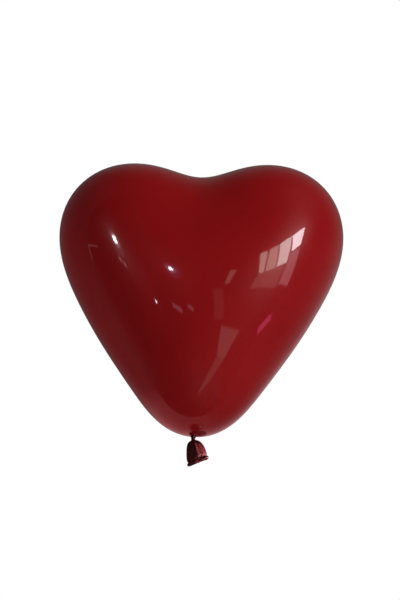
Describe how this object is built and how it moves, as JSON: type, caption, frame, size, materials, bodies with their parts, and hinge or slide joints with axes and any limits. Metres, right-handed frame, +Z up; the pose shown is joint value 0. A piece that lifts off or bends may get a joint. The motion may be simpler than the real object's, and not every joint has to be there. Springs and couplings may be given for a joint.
{
  "type": "heart-shaped latex balloon",
  "caption": "Inflated heart-shaped party balloon in glossy dark red latex, tied off with a small knot and a flared tail with a rolled lip.",
  "frame": {"origin": "the tie point, where the neck leaves the lowest point of the heart, on the heart's middle plane", "axes": "+Z up from the knot to the notch between the lobes, +X across the width to the viewer's right, +Y through the depth with the front towards -Y"},
  "size_m": [0.28, 0.1588, 0.309],
  "materials": {
    "stretched_film": "high gloss",
    "thick_latex": "satin gloss",
    "tail_latex": "satin gloss"
  },
  "bodies": {
    "heart": {"heart_envelope": "stretched_film", "thick_tip": "thick_latex"},
    "knot": {"knot_core": "thick_latex", "knot_wrap": "thick_latex"},
    "waist": {"neck_waist": "thick_latex"},
    "tail": {"tail_skirt": "tail_latex", "rolled_lip": "tail_latex"}
  },
  "joints": [
    {"name": "neck_twist", "type": "hinge", "parent": "heart", "child": "knot", "pos_m": [0, 0, 0], "axis": [0, 0, 1], "range_deg": [-180, 180], "stiffness_Nm_per_rad": 0.0005},
    {"name": "tail_swing", "type": "hinge", "parent": "knot", "child": "waist", "pos_m": [0, 0, -0.0052], "axis": [0, 1, 0], "range_deg": [-30, 54], "stiffness_Nm_per_rad": 0.001},
    {"name": "tail_nod", "type": "hinge", "parent": "waist", "child": "tail", "pos_m": [0, 0, -0.0052], "axis": [1, 0, 0], "range_deg": [-38, 38], "stiffness_Nm_per_rad": 0.001}
  ]
}
